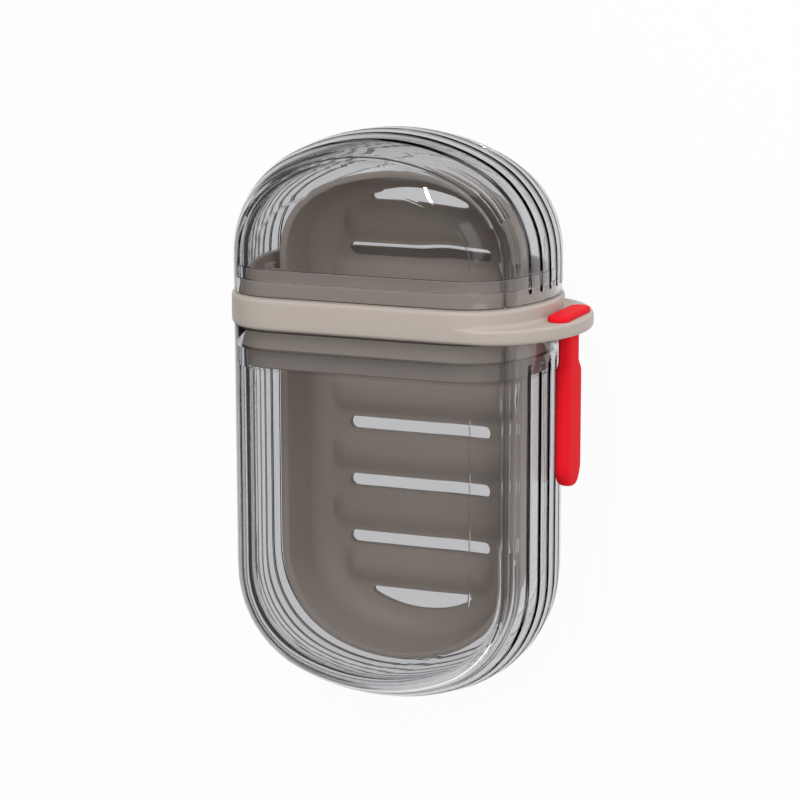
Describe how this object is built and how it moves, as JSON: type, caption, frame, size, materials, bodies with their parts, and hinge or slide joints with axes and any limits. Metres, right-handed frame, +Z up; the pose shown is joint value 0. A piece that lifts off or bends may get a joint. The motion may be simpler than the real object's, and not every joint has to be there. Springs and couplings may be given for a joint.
{
  "type": "travel soap box",
  "caption": "Clear travel soap box with grooved sides, an arched pull-off cover, a centre ring with a side tab, a slotted soap tray and a soft strap.",
  "frame": {"origin": "middle of the underside of the bounding box, the box lying on its back", "axes": "+X across the box towards the strap tab, +Y along the box towards the upper cover, +Z up, out of the front face"},
  "size_m": [0.0822, 0.13, 0.049],
  "materials": {
    "clear_shell": "polished, clear with a faint smoky tint",
    "taupe_plastic": "satin, opaque",
    "red_silicone": "matt, soft"
  },
  "bodies": {
    "ring": {"centre_ring": "taupe_plastic", "soap_tray": "taupe_plastic", "strap": "red_silicone"},
    "cover": {"upper_cover": "clear_shell"},
    "box": {"lower_box": "clear_shell"}
  },
  "joints": [
    {"name": "cover_pull", "type": "slide", "parent": "ring", "child": "cover", "axis": [0, 1, 0], "range_m": [0, 0.06]},
    {"name": "box_pull", "type": "slide", "parent": "ring", "child": "box", "axis": [0, -1, 0], "range_m": [0, 0.085]}
  ]
}
